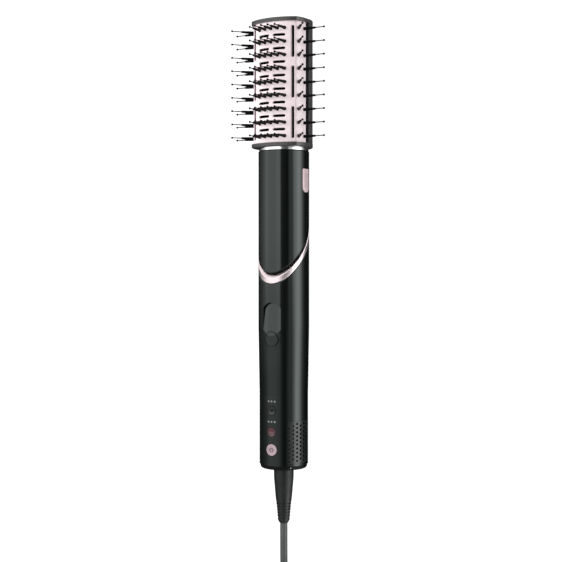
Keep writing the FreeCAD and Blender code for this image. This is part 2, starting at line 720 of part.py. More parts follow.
def cord_tube(route):
    """Straight runs joined by arcs as large as the runs allow, swept with the cord's section."""
    points = [Vector(*p) for p in route]
    edges = []
    here = points[0]
    for before, corner, after in zip(points, points[1:], points[2:]):
        into = (corner - before).normalize()
        onward = (after - corner).normalize()
        turn = into.getAngle(onward)
        shorter = min(before.distanceToPoint(corner), corner.distanceToPoint(after))
        trim = 0.45 * shorter
        radius = trim / math.tan(turn / 2)
        print(f"    cord arc: radius {radius:6.1f}  turn {math.degrees(turn):5.1f}")
        start, end = corner - into * trim, corner + onward * trim
        middle_out = (start + end) * 0.5 - corner
        to_centre = math.hypot(radius, trim)
        middle = corner + middle_out.normalize() * (to_centre - radius)
        edges.append(Part.LineSegment(here, start).toShape())
        edges.append(Part.Arc(start, middle, end).toShape())
        here = end
    edges.append(Part.LineSegment(here, points[-1]).toShape())
    path = Part.Wire(edges)
    first = (points[1] - points[0]).normalize()
    section = Part.Wire(Part.Circle(points[0], first, CORD_R).toShape())
    pipe = path.makePipeShell([section], True, False)
    wanted = math.pi * CORD_R ** 2 * path.Length
    print(f"    cord length {path.Length:7.1f}  volume over section times length {pipe.Volume / wanted:.4f}")
    return pipe


def hank_outline():
    """Half of the hank's outline, as offsets from its middle line: two loops and a waist."""
    long = HANK_NEAR - HANK_FAR
    c = HANK_CORNER * (1 - math.sqrt(0.5))
    waist_near, waist_far = HANK_MIDDLE + WAIST_LONG / 2, HANK_MIDDLE - WAIST_LONG / 2
    return [
        (HANK_HALF - HANK_CORNER, HANK_NEAR),
        ((HANK_HALF - c, HANK_NEAR - c), (HANK_HALF, HANK_NEAR - HANK_CORNER)),
        (HANK_HALF, HANK_MIDDLE + long * 0.26),
        (WAIST_HALF, waist_near),
        (WAIST_HALF, waist_far),
        (HANK_HALF, HANK_MIDDLE - long * 0.26),
        (HANK_HALF, HANK_FAR),
        (0, HANK_FAR),
    ]


def cord_hank():
    """The put-away length of cord, as the outer shape of its folded turns."""
    legs = mirrored((0, HANK_NEAR), hank_outline())
    face = outline((0, HANK_NEAR), legs, lambda x, y: Vector(HANK_X + x, y, 0))
    solid = face.extrude(Vector(0, 0, HANK_HIGH))
    slack = 0.2
    corner = Vector(HANK_X - HANK_HALF, HANK_MIDDLE - TIE_LONG / 2 - slack, 0)
    under = Part.makeBox(2 * HANK_HALF, TIE_LONG + 2 * slack, TIE_THICK, corner)
    return solid.cut(under)


def hank_tie():
    """A strap round the hank's waist."""
    outer_half = WAIST_HALF + TIE_THICK
    near_end = HANK_MIDDLE - TIE_LONG / 2
    outer = Part.makeBox(2 * outer_half, TIE_LONG, HANK_HIGH + TIE_THICK,
                         Vector(HANK_X - outer_half, near_end, 0))
    inner = Part.makeBox(2 * WAIST_HALF, TIE_LONG + 2, HANK_HIGH - TIE_THICK,
                         Vector(HANK_X - WAIST_HALF, near_end - 1, TIE_THICK))
    return outer.cut(inner)


def plug_body():
    """A moulded two-blade plug with a short strain relief."""
    relief = Part.makeCone(*RELIEF_R, RELIEF_LONG, Vector(PLUG_X, PLUG_Y, PLUG_Z), Vector(0, -1, 0))
    back = PLUG_Y - RELIEF_LONG + 2.0
    corner = Vector(PLUG_X - PLUG_WIDE / 2, back - PLUG_LONG, PLUG_Z - PLUG_HIGH / 2)
    body = Part.makeBox(PLUG_WIDE, PLUG_LONG, PLUG_HIGH, corner)
    body = rounded(body, 4.0, lambda e: e.BoundBox.YLength > PLUG_LONG - 5)
    body = rounded(body, 2.5, lambda e: abs(e.BoundBox.YMin - back) < 0.01 and e.BoundBox.YLength < 0.01)
    return body.fuse(relief)


def plug_blades():
    """Two flat blades, one wider than the other, each with a hole near its end."""
    face = PLUG_Y - RELIEF_LONG + 2.0 - PLUG_LONG
    blades = []
    for x, half in BLADES:
        corner = Vector(PLUG_X + x - BLADE_THICK / 2, face - BLADE_LONG, PLUG_Z - half)
        blade = Part.makeBox(BLADE_THICK, BLADE_LONG, 2 * half, corner)
        start = Vector(PLUG_X + x - BLADE_THICK, face - BLADE_HOLE_IN, PLUG_Z)
        blades.append(blade.cut(Part.makeCylinder(BLADE_HOLE_R, 2 * BLADE_THICK, start, Vector(1, 0, 0))))
    return Part.makeCompound(blades)


# ---------------------------------------------------------------- write every piece
shell = front_shell()
row = bristle_row()

pieces = {
    "handle_housing": handle_housing(),
    "intake_grille": intake_grille(),
    "filter_mesh": filter_mesh(),
    "bottom_cap": bottom_cap(),
    "cap_screws": cap_screws(),
    "chassis": chassis(),
    "control_board": control_board(),
    "tact_switches": tact_switches(),
    "power_board": power_board(),
    "led_lenses": led_lenses(),
    "power_button": power_button(),
    "heat_button": dark_button("heat_button"),
    "airflow_button": dark_button("airflow_button"),
    "thumb_button": thumb_button(),
    "fan_housing": fan_housing(),
    "motor_mount": motor_mount(),
    "motor_can": motor_can(),
    "motor_bearings": motor_bearings(),
    "motor_stator": motor_stator(),
    "rotor_magnet": rotor_magnet(),
    "motor_shaft": motor_shaft(),
    "impeller": impeller(),
    "trim_ring": trim_ring(),
    "coupling_sleeve": coupling_sleeve(),
    "barrel_tube": barrel_tube(),
    "badge": badge(),
    "heater_sleeve": heater_sleeve(),
    "heater_frame": heater_frame(),
    "heater_coil": heater_coil(),
    "thermostat": thermostat(),
    "thermal_fuse": thermal_fuse(),
    "neck_ring": neck_ring(),
    "head_base_cap": head_base_cap(),
    "head_top_cap": head_top_cap(),
    "front_plate": front_plate(shell),
    "side_panel_left": side_panel(shell, -1),
    "side_panel_right": side_panel(shell, 1),
    "back_shell": back_shell(),
    "head_liner": head_liner(),
    "swivel_collar": swivel_collar(),
    "cord_boot": cord_boot(),
    "cord_clamp": cord_clamp(),
    "cord_inner": cord_inner(),
    "power_cord": cord_tube(CORD_ROUTE),
    "cord_tail": cord_tube(TAIL_ROUTE),
    "cord_hank": cord_hank(),
    "hank_tie": hank_tie(),
    "plug_body": plug_body(),
    "plug_blades": plug_blades(),
}
for number, station in enumerate(ROW_STATIONS, 1):
    moved_row = row.copy()
    moved_row.translate(Vector(0, station, 0))
    pieces[f"bristle_row_{number}"] = moved_row

for node, shape in pieces.items():
    save(node, shape)
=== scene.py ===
import math

import bmesh
import bpy
from mathutils import Matrix, Vector


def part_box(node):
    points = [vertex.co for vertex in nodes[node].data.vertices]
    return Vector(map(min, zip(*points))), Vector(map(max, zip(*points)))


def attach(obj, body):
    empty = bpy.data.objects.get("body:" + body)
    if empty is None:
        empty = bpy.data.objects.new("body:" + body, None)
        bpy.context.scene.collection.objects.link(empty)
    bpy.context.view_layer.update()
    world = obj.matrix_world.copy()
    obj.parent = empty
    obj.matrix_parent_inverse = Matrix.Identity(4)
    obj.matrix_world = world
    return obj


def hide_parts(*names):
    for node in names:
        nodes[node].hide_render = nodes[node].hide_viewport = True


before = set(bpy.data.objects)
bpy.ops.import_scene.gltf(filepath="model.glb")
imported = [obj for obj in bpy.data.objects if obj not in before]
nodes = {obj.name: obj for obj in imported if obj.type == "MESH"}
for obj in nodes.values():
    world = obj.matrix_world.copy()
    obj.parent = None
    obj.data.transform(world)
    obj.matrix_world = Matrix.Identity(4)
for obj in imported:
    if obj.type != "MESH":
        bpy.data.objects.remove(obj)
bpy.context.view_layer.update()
scene = bpy.context.scene

# ---------------------------------------------------------------- camera
# The brush lies on its back with its head away in +Y. The camera looks down on it, nearly square
# to its length and 30 degrees round towards +X, so that the head is at the top.
# Stations are distances from the handle's lower end towards the head.
end_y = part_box("bottom_cap")[0].y
barrel_low, barrel_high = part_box("barrel_tube")
barrel_r = (barrel_high.x - barrel_low.x) / 2
axis_z = barrel_low.z + barrel_r


def at(x, station, height):
    """The point x to the side, at a station, at a height over the table."""
    return Vector((x, end_y + station, height))


side_lean = math.radians(30.0)
camera_far, camera_aside, camera_station = 0.86, -0.0021, 0.1516
camera_slope = 0.01395      # the view tips slightly towards the handle
across = Vector((math.cos(side_lean), 0, -math.sin(side_lean)))
towards = Vector((math.sin(side_lean), 0, math.cos(side_lean)))
backwards = (towards + Vector((0, camera_slope, 0))).normalized()
camera_data = bpy.data.cameras.new("camera")
camera_data.sensor_width = 36.0
camera_data.lens = 73.47
camera = bpy.data.objects.new("camera", camera_data)
turn = Matrix((across, backwards.cross(across), backwards)).transposed().to_4x4()
spot = at(0, camera_station, axis_z) + towards * camera_far + across * camera_aside
camera.matrix_world = Matrix.Translation(spot) @ turn
scene.collection.objects.link(camera)
scene.camera = camera

# ---------------------------------------------------------------- studio
# A pale table under one broad soft light, in a room whose white walls light the object evenly.
# Glossy faces see tall soft boxes instead: a broad one at the left, a narrow one at the right.
scene.view_settings.view_transform = "Standard"


def add_node(tree, kind, inputs=None, **settings):
    """A node with its settings; an input is a value or the socket that feeds it."""
    made = tree.nodes.new(kind)
    for key, value in settings.items():
        setattr(made, key, value)
    for key, value in (inputs or {}).items():
        if isinstance(value, bpy.types.NodeSocket):
            tree.links.new(value, made.inputs[key])
        else:
            made.inputs[key].default_value = value
    return made


def add_ramp(tree, factor, stops):
    """A colour ramp; a stop is a place and a grey level or a colour."""
    made = add_node(tree, "ShaderNodeValToRGB", {"Fac": factor})
    elements = made.color_ramp.elements
    while len(elements) < len(stops):
        elements.new(0.5)
    for element, (place, level) in zip(elements, stops):
        element.position = place
    for element, (place, level) in zip(elements, stops):
        element.color = (*level, 1) if isinstance(level, tuple) else (level, level, level, 1)
    return made.outputs["Color"]


def add_mix(tree, factor, first, second):
    """A mix of two colours; the sockets go by number because a colour mix repeats their names."""
    made = add_node(tree, "ShaderNodeMix", {0: factor, 6: first, 7: second}, data_type="RGBA")
    return made.outputs[2]


def new_surface(name, sockets=None):
    """A new material: it, its node tree and its shader, with the constants set on the shader."""
    made = bpy.data.materials.new(name)
    made.use_nodes = True
    shader = made.node_tree.nodes["Principled BSDF"]
    for key, value in (sockets or {}).items():
        shader.inputs[key].default_value = value
    return made, made.node_tree, shader


world = bpy.data.worlds.new("studio")
world.use_nodes = True
world.cycles.sampling_method = "NONE"
scene.world = world
room = world.node_tree
room.nodes.clear()
ray = add_node(room, "ShaderNodeTexCoord").outputs["Generated"]
ray_parts = add_node(room, "ShaderNodeSeparateXYZ", {"Vector": ray})
ray_angle = add_node(room, "ShaderNodeMath", {0: ray_parts.outputs["X"], 1: ray_parts.outputs["Z"]},
                     operation="ARCTAN2")
angle_share = add_node(room, "ShaderNodeMapRange",
                       {"Value": ray_angle.outputs[0], "From Min": -math.pi, "From Max": math.pi})
walls_light, walls_seen = 0.74, 1.0
brightest = 5.0
# Each stop is an angle about the brush, from straight up towards +X, and the light seen there:
# for rays that lean towards the head, and for rays that lean towards the cord.
boxes_high = [(-124, 0.006), (-102, 0.034), (-82, 0.10), (-67, 0.235), (-54, 0.41), (-41, 0.36), (-9, 0.38),
              (0, 0.455), (11, 0.455), (18, 0.05), (30, 0.025), (48, 0.012), (56, 0.136), (68, 0.136),
              (78, 0.51), (88, 0.62), (99, 0.83), (111, 0.62), (124, 0.16), (139, 0.017), (158, 0.006)]
boxes_low = [(-124, 0.001), (-102, 0.0085), (-82, 0.021), (-67, 0.054), (-54, 0.108), (-41, 0.177),
             (-9, 0.177), (0, 0.148), (10, 0.125), (19, 0.053), (30, 0.012), (39, 0.02), (48, 0.072),
             (57, 0.119), (67, 0.119), (78, 0.34), (88, 0.73), (99, 0.786), (111, 0.478), (124, 0.11),
             (139, 0.021), (158, 0.003)]
glossy_view = []
for stops in (boxes_high, boxes_low):
    places = [((degrees + 180) / 360, light) for degrees, light in stops]
    glossy_view.append(add_ramp(room, angle_share.outputs["Result"], places))
height_share = add_node(room, "ShaderNodeMapRange",
                        {"Value": ray_parts.outputs["Y"], "From Min": 0.03, "From Max": -0.12})
boxes = add_mix(room, height_share.outputs["Result"], glossy_view[0], glossy_view[1])
seen_by_gloss = add_node(room, "ShaderNodeBackground", {"Color": boxes, "Strength": brightest})
path = add_node(room, "ShaderNodeLightPath")
wall_strength = add_node(room, "ShaderNodeMath", {0: path.outputs["Is Camera Ray"],
                                                  1: walls_seen - walls_light, 2: walls_light},
                         operation="MULTIPLY_ADD")
walls = add_node(room, "ShaderNodeBackground",
                 {"Color": (1, 1, 1, 1), "Strength": wall_strength.outputs[0]})
mixed = add_node(room, "ShaderNodeMixShader", {0: path.outputs["Is Glossy Ray"], 1: walls.outputs[0],
                                               2: seen_by_gloss.outputs[0]})
add_node(room, "ShaderNodeOutputWorld", {"Surface": mixed.outputs[0]})

lamp_data = bpy.data.lights.new("soft_box", "AREA")
lamp_data.shape = "RECTANGLE"
lamp_data.size, lamp_data.size_y = 0.9, 1.6
lamp_data.energy = 15.0
lamp = bpy.data.objects.new("soft_box", lamp_data)
lamp.visible_glossy = False
lamp_from = Vector((-0.75, 0.35, 1.05))
lamp.matrix_world = Matrix.Translation(lamp_from) @ lamp_from.to_track_quat("Z", "Y").to_matrix().to_4x4()
scene.collection.objects.link(lamp)

floor_mesh = bpy.data.meshes.new("table_top")
floor_bm = bmesh.new()
bmesh.ops.create_grid(floor_bm, x_segments=1, y_segments=1, size=4.0)
floor_bm.to_mesh(floor_mesh)
floor_bm.free()
floor = bpy.data.objects.new("table_top", floor_mesh)
floor.visible_glossy = False
scene.collection.objects.link(floor)
table_paint = new_surface("table_paint", {"Base Color": (0.22, 0.22, 0.22, 1), "Roughness": 0.9,
                                          "Specular IOR Level": 0.0, "Emission Color": (1, 1, 1, 1),
                                          "Emission Strength": 0.97})[0]
floor_mesh.materials.append(table_paint)

# ---------------------------------------------------------------- inside
# The handle holds a nylon chassis with the boards, their switches and a small fan in a duct. The fan's
# motor sits in a rubber sleeve. The barrel holds a wire heater wound on crossed mica boards, with a
# mica tube round it, a thermostat and a thermal fuse.


def new_group(name, inputs, outputs):
    """An empty node group; an input has its own starting value."""
    group = bpy.data.node_groups.new(name, "ShaderNodeTree")
    for key, value in inputs.items():
        group.interface.new_socket(key, in_out="INPUT", socket_type="NodeSocketFloat").default_value = value
    for key in outputs:
        group.interface.new_socket(key, in_out="OUTPUT", socket_type="NodeSocketFloat")
    return group, add_node(group, "NodeGroupInput"), add_node(group, "NodeGroupOutput")


# The skin of a moulded or sprayed surface: a fine even texture, a slow change of tone, and the
# faint marks that hands leave.
skin, skin_in, skin_out = new_group("skin", {"Grain": 4000.0, "Length Stretch": 1.0, "Marks": 60.0},
                                    ("Height", "Tone", "Marks"))
skin_place = add_node(skin, "ShaderNodeTexCoord").outputs["Object"]
skin_parts = add_node(skin, "ShaderNodeSeparateXYZ", {"Vector": skin_place})
skin_y = add_node(skin, "ShaderNodeMath",
                  {0: skin_parts.outputs["Y"], 1: skin_in.outputs["Length Stretch"]}, operation="DIVIDE")
skin_drawn = add_node(skin, "ShaderNodeCombineXYZ",
                      {"X": skin_parts.outputs["X"], "Y": skin_y.outputs[0], "Z": skin_parts.outputs["Z"]})
fine = add_node(skin, "ShaderNodeTexNoise",
                {"Vector": skin_drawn.outputs[0], "Scale": skin_in.outputs["Grain"], "Detail": 2.0,
                 "Roughness": 0.6})
slow = add_node(skin, "ShaderNodeTexNoise", {"Vector": skin_place, "Scale": 35.0, "Detail": 3.0})
rubbed = add_node(skin, "ShaderNodeTexNoise", {"Vector": skin_place, "Scale": skin_in.outputs["Marks"],
                                               "Detail": 6.0, "Roughness": 0.65, "Distortion": 1.2})
rubbed_mask = add_node(skin, "ShaderNodeMapRange", {"Value": rubbed.outputs["Fac"], "From Min": 0.42,
                                                    "From Max": 0.72}, interpolation_type="SMOOTHSTEP")
skin.links.new(fine.outputs["Fac"], skin_out.inputs["Height"])
skin.links.new(slow.outputs["Fac"], skin_out.inputs["Tone"])
skin.links.new(rubbed_mask.outputs["Result"], skin_out.inputs["Marks"])


def add_skin(tree, shader, dark, light, smooth, rough, grain, bump, stretch=1.0, marks=60.0):
    """Gives a shader two close tones, handling marks in its roughness, and a fine texture."""
    group = add_node(tree, "ShaderNodeGroup", node_tree=skin)
    group.inputs["Grain"].default_value = grain
    group.inputs["Length Stretch"].default_value = stretch
    group.inputs["Marks"].default_value = marks
    colour = add_ramp(tree, group.outputs["Tone"], [(0.3, dark), (0.7, light)])
    tree.links.new(colour, shader.inputs["Base Color"])
    rougher = add_node(tree, "ShaderNodeMapRange", {"Value": group.outputs["Marks"], "To Min": smooth,
                                                    "To Max": rough})
    tree.links.new(rougher.outputs["Result"], shader.inputs["Roughness"])
    relief = add_node(tree, "ShaderNodeBump", {"Strength": bump, "Distance": 0.0001,
                                               "Height": group.outputs["Height"]})
    tree.links.new(relief.outputs["Normal"], shader.inputs["Normal"])
    return colour


def skinned(name, dark, light, smooth, rough, grain, bump, stretch=1.0, marks=60.0, sockets=None):
    """A material that is only a skin of two close tones."""
    made, tree, shader = new_surface(name, sockets)
    add_skin(tree, shader, dark, light, smooth, rough, grain, bump, stretch, marks)
    return made


def finish_node(material, *names):
    """Gives CAD nodes their finish."""
    for name in names:
        for place in nodes[name].material_slots:
            place.material = material


inner_nylon = skinned("inner_nylon", (0.014, 0.013, 0.014), (0.030, 0.028, 0.029),
                      0.42, 0.62, 1500.0, 0.6, stretch=3.0)
finish_node(inner_nylon, "chassis", "fan_housing", "impeller", "cord_clamp")

soft_rubber = skinned("soft_rubber", (0.022, 0.022, 0.023), (0.034, 0.034, 0.035),
                      0.62, 0.80, 2400.0, 0.4)
finish_node(soft_rubber, "motor_mount")

circuit_board, board_tree, board_shader = new_surface("circuit_board", {"Coat Weight": 0.3})
board_colour = add_skin(board_tree, board_shader, (0.010, 0.085, 0.032), (0.016, 0.120, 0.048), 0.25, 0.35,
                        2000.0, 0.1)
board_place = add_node(board_tree, "ShaderNodeTexCoord").outputs["Object"]
tracks = add_node(board_tree, "ShaderNodeTexBrick",
                  {"Vector": board_place, "Scale": 260.0, "Mortar Size": 0.03, "Color1": (0, 0, 0, 1),
                   "Color2": (0, 0, 0, 1), "Mortar": (1, 1, 1, 1)})
tracked = add_mix(board_tree, tracks.outputs["Fac"], board_colour, (0.05, 0.20, 0.07, 1))
board_tree.links.new(tracked, board_shader.inputs["Base Color"])
finish_node(circuit_board, "control_board", "power_board")

circuit_parts = skinned("circuit_parts", (0.020, 0.020, 0.021), (0.045, 0.045, 0.046),
                        0.35, 0.5, 1800.0, 0.2)
finish_node(circuit_parts, "tact_switches")

copper_winding = skinned("copper_winding", (0.45, 0.17, 0.07), (0.66, 0.30, 0.14),
                         0.28, 0.42, 900.0, 0.9, stretch=8.0, sockets={"Metallic": 1.0})
finish_node(copper_winding, "motor_stator")

magnet = skinned("magnet", (0.13, 0.13, 0.14), (0.22, 0.22, 0.23),
                 0.35, 0.5, 1600.0, 0.3, sockets={"Metallic": 0.8})
finish_node(magnet, "rotor_magnet")

mica = skinned("mica", (0.42, 0.34, 0.22), (0.62, 0.53, 0.38),
               0.35, 0.6, 600.0, 0.5, stretch=4.0)
finish_node(mica, "heater_sleeve", "heater_frame")

heater_wire = skinned("heater_wire", (0.20, 0.18, 0.17), (0.38, 0.34, 0.31),
                      0.30, 0.5, 2400.0, 0.3, sockets={"Metallic": 1.0})
finish_node(heater_wire, "heater_coil")

# ---------------------------------------------------------------- intake grille and filter
# The grille is a thin curved panel, moulded in satin black plastic with rows of round holes, and it is
# let into the back of the handle. A woven steel mesh lies behind it and keeps dust and hair out.
satin_black = skinned("satin_black", (0.0060, 0.0085, 0.0080), (0.0090, 0.0120, 0.0112),
                      0.16, 0.28, 2200.0, 0.10)
finish_node(satin_black, "intake_grille")

steel_mesh, mesh_tree, mesh_shader = new_surface("steel_mesh", {"Metallic": 0.9})
mesh_place = add_node(mesh_tree, "ShaderNodeTexCoord").outputs["Object"]
wires = add_node(mesh_tree, "ShaderNodeTexVoronoi",
                 {"Vector": mesh_place, "Scale": 1800.0, "Randomness": 0.0}, feature="DISTANCE_TO_EDGE")
wire_colour = add_ramp(mesh_tree, wires.outputs["Distance"], [(0.10, 0.11), (0.30, 0.006)])
mesh_tree.links.new(wire_colour, mesh_shader.inputs["Base Color"])
wire_rough = add_node(mesh_tree, "ShaderNodeMapRange",
                      {"Value": wires.outputs["Distance"], "To Min": 0.35, "To Max": 0.7})
mesh_tree.links.new(wire_rough.outputs["Result"], mesh_shader.inputs["Roughness"])
finish_node(steel_mesh, "filter_mesh")

# ---------------------------------------------------------------- handle and barrel
# The two outer tubes of the brush are moulded in black plastic and polished to a deep gloss. They are
# pushed together over a sleeve, at a slanting joint. The button in the thumb scoop and the airflow
# button are moulded in the same plastic.
gloss_black = skinned("gloss_black", (0.0012, 0.0020, 0.0018), (0.0018, 0.0030, 0.0027),
                      0.06, 0.12, 700.0, 0.02, marks=45.0,
                      sockets={"IOR": 1.5, "Specular Tint": (0.90, 1.0, 0.97, 1)})
finish_node(gloss_black, "handle_housing", "barrel_tube", "thumb_button", "airflow_button")

# ---------------------------------------------------------------- trim ring and badge
# The ring at the slanting joint is cut from metal tube and has a satin rose plating. The badge is a
# small curved plate, painted rose and glued into a recess in the barrel.
rose_metal = skinned("rose_metal", (0.74, 0.63, 0.65), (0.84, 0.73, 0.75),
                     0.32, 0.40, 1800.0, 0.05, stretch=3.0, sockets={"Metallic": 1.0})
finish_node(rose_metal, "trim_ring")

rose_plate = skinned("rose_plate", (0.72, 0.57, 0.59), (0.80, 0.65, 0.67),
                     0.35, 0.48, 2600.0, 0.1, sockets={"Metallic": 0.4})
finish_node(rose_plate, "badge")


def new_piece(name, bm, material, body):
    """A finished mesh object that moves with a body of the brush."""
    bmesh.ops.recalc_face_normals(bm, faces=bm.faces)
    data = bpy.data.meshes.new(name)
    bm.to_mesh(data)
    bm.free()
    data.materials.append(material)
    data.shade_smooth()
    data.set_sharp_from_angle(angle=math.radians(35.0))
    made = bpy.data.objects.new(name, data)
    scene.collection.objects.link(made)
    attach(made, body)
    return made


# Three raised waves stand for moving air; each follows the round of the barrel.
badge_low, badge_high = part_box("badge")
wave_bm = bmesh.new()
wave_parts = 36
wave_long, wave_deep, wave_wide = 0.0110, 0.0005, 0.00040
wave_apart, wave_sunk, wave_proud = 0.0019, 0.0001, 0.0001
badge_r = barrel_r + 0.00025
for wave_z in (-wave_apart, 0.0, wave_apart):
    wave_x = math.sqrt(badge_r ** 2 - wave_z ** 2)
    made = bmesh.ops.create_grid(wave_bm, x_segments=1, y_segments=wave_parts, size=0.5)["verts"]
    for vert in made:
        along, side = vert.co.y, vert.co.x
        lift = wave_deep * math.sin(4 * math.pi * along)
        middle = at(wave_x - wave_sunk, (badge_low.y + badge_high.y) / 2 - end_y, axis_z + wave_z)
        vert.co = middle + Vector((0, wave_long * along, lift + wave_wide * side))
    sheet_faces = list({f for v in made for f in v.link_faces})
    grown = bmesh.ops.extrude_face_region(wave_bm, geom=sheet_faces, use_keep_orig=True)["geom"]
    grown_verts = [v for v in grown if isinstance(v, bmesh.types.BMVert)]
    bmesh.ops.translate(wave_bm, vec=(wave_sunk + wave_proud, 0, 0), verts=grown_verts)
new_piece("badge_waves", wave_bm, rose_metal, "brush")

# ---------------------------------------------------------------- bottom cap
# A matte black plastic disc closes the handle's lower end. Two small steel screws hold it to the
# chassis, and a white mark is printed on its edge. The sleeve at the slanting joint and the frame in
# the head are moulded in the same black.
matte_black = skinned("matte_black", (0.0016, 0.0018, 0.0018), (0.0030, 0.0033, 0.0033),
                      0.50, 0.62, 2600.0, 0.3, sockets={"Specular IOR Level": 0.12})
finish_node(matte_black, "bottom_cap", "coupling_sleeve", "head_liner")


def add_block(bm, low, high, edge, segments=3, chosen=None):
    """A block between two corners; its chosen edges, or all of them, are rounded by edge."""
    middle, size = (low + high) / 2, high - low
    place = Matrix.Translation(middle) @ Matrix.Diagonal((*size, 1.0))
    made = bmesh.ops.create_cube(bm, size=1.0, matrix=place)["verts"]
    edges = {e for v in made for e in v.link_edges if chosen is None or chosen(e)}
    bmesh.ops.bevel(bm, geom=list(edges), offset=edge, affect="EDGES", segments=segments, profile=0.5,
                    material=-1)


white_print = skinned("white_print", (0.62, 0.63, 0.63), (0.78, 0.79, 0.79),
                      0.40, 0.55, 3000.0, 0.2)
cap_r = 0.0175
mark_station, mark_round = 0.0018, math.radians(47.0)
mark_wide, mark_long, mark_sunk, mark_proud = 0.0008, 0.0006, 0.0002, 0.00006
mark_bm = bmesh.new()
mark_place = Matrix.Translation(at(0, mark_station, axis_z)) @ Matrix.Rotation(mark_round, 4, "Y")
add_block(mark_bm, Vector((-mark_wide / 2, -mark_long / 2, cap_r - mark_sunk)),
          Vector((mark_wide / 2, mark_long / 2, cap_r + mark_proud)), 0.0001)
bmesh.ops.transform(mark_bm, matrix=mark_place, verts=mark_bm.verts)
new_piece("index_mark", mark_bm, white_print, "brush")

steel = skinned("steel", (0.42, 0.42, 0.43), (0.56, 0.56, 0.57),
                0.22, 0.40, 2400.0, 0.3, sockets={"Metallic": 1.0})
finish_node(steel, "cap_screws", "motor_can", "motor_bearings", "motor_shaft", "thermostat", "thermal_fuse")

# ---------------------------------------------------------------- buttons and lights
# Three small moulded buttons stand in the front of the handle: pearly rose for power, dark rose for
# heat and black for airflow. Each rests on a push switch. Clear moulded pipes carry the lights out.
rose_button = skinned("rose_button", (0.38, 0.28, 0.31), (0.47, 0.36, 0.39),
                      0.24, 0.36, 2600.0, 0.08, sockets={"Coat Weight": 0.4, "Coat Roughness": 0.1})
finish_node(rose_button, "power_button")

dark_rose_button = skinned("dark_rose_button", (0.040, 0.004, 0.010), (0.062, 0.008, 0.016),
                           0.20, 0.32, 2000.0, 0.08, sockets={"Coat Weight": 0.3})
finish_node(dark_rose_button, "heat_button")

# The icons are printed raised: a broken ring with a bar, three dots, and a small round spot.
button_top = {}
for button in ("power_button", "heat_button", "airflow_button"):
    button_low, button_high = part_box(button)
    button_top[button] = Vector(((button_low.x + button_high.x) / 2, (button_low.y + button_high.y) / 2,
                                 button_high.z))
line_wide, line_low, line_high = 0.00042, 0.00022, 0.00005
line_tall, line_middle = line_high + line_low, (line_high - line_low) / 2

icon_print = skinned("icon_print", (0.11, 0.07, 0.08), (0.17, 0.11, 0.12),
                     0.40, 0.55, 3000.0, 0.2)
icon_bm = bmesh.new()
icon_middle = button_top["power_button"]
icon_r = 0.0014
icon_gap = math.radians(70.0)
bar_low, bar_high = 0.0004, 0.0017
upright = Matrix.Rotation(math.radians(90.0), 4, "X") @ Matrix.Diagonal((line_wide, line_tall, 1.0, 1.0))
line_place = Matrix.Translation((icon_r, 0, line_middle)) @ upright
icon_start = Matrix.Translation(icon_middle) @ Matrix.Rotation(math.radians(90.0) + icon_gap / 2, 4, "Z")
section = bmesh.ops.create_grid(icon_bm, x_segments=1, y_segments=1, size=0.5,
                                matrix=icon_start @ line_place)["verts"]
bmesh.ops.delete(icon_bm, geom=icon_bm.faces[:], context="FACES_ONLY")
bmesh.ops.spin(icon_bm, geom=section + icon_bm.edges[:], cent=icon_middle, axis=(0, 0, 1),
               angle=2 * math.pi - icon_gap, steps=40)
bmesh.ops.holes_fill(icon_bm, edges=icon_bm.edges)
add_block(icon_bm, icon_middle + Vector((-line_wide / 2, bar_low, -line_low)),
          icon_middle + Vector((line_wide / 2, bar_high, line_high)), 0.0001)
new_piece("power_icon", icon_bm, icon_print, "power_button")

rose_print = skinned("rose_print", (0.30, 0.16, 0.19), (0.40, 0.23, 0.26),
                     0.40, 0.55, 3000.0, 0.2)
dot_apart, dot_r = 0.0011, 0.0003
dots_bm = bmesh.new()
for dot_x in (-dot_apart, 0.0, dot_apart):
    dot_place = Matrix.Translation(button_top["heat_button"] + Vector((dot_x, 0, line_middle)))
    bmesh.ops.create_cone(dots_bm, cap_ends=True, segments=24, radius1=dot_r, radius2=dot_r,
                          depth=line_tall, matrix=dot_place)
new_piece("heat_icon", dots_bm, rose_print, "heat_button")

spot_r = 0.0008
spot_bm = bmesh.new()
spot_place = Matrix.Translation(button_top["airflow_button"] + Vector((0, 0, line_middle)))
bmesh.ops.create_cone(spot_bm, cap_ends=True, segments=32, radius1=spot_r, radius2=spot_r,
                      depth=line_tall, matrix=spot_place)
new_piece("airflow_icon", spot_bm, matte_black, "airflow_button")

clear_lens = skinned("clear_lens", (0.15, 0.155, 0.155), (0.24, 0.245, 0.245),
                     0.18, 0.32, 3000.0, 0.1)
finish_node(clear_lens, "led_lenses")

# ---------------------------------------------------------------- neck ring
# A short ring of bright plated metal joins the barrel and the head. It is turned from tube and
# pressed into both of them.
bright_metal = skinned("bright_metal", (0.70, 0.70, 0.71), (0.80, 0.80, 0.81),
                       0.14, 0.22, 1200.0, 0.03, sockets={"Metallic": 1.0})
finish_node(bright_metal, "neck_ring")

# ---------------------------------------------------------------- head
# The caps and the back are moulded in dark grey satin plastic. The vented front and its two side panels
# are plastic with a light pink heat-proof coat, and they clip to a black frame inside.
grey_plastic = skinned("grey_plastic", (0.034, 0.032, 0.033), (0.046, 0.044, 0.045),
                       0.34, 0.46, 1900.0, 0.35, sockets={"Specular IOR Level": 0.5})
finish_node(grey_plastic, "head_base_cap", "head_top_cap", "back_shell")

pink_coat = skinned("pink_coat", (0.93, 0.79, 0.815), (0.97, 0.84, 0.865),
                    0.34, 0.46, 2200.0, 0.12, sockets={"Coat Weight": 0.25, "Coat Roughness": 0.2})
finish_node(pink_coat, "front_plate", "side_panel_left", "side_panel_right")

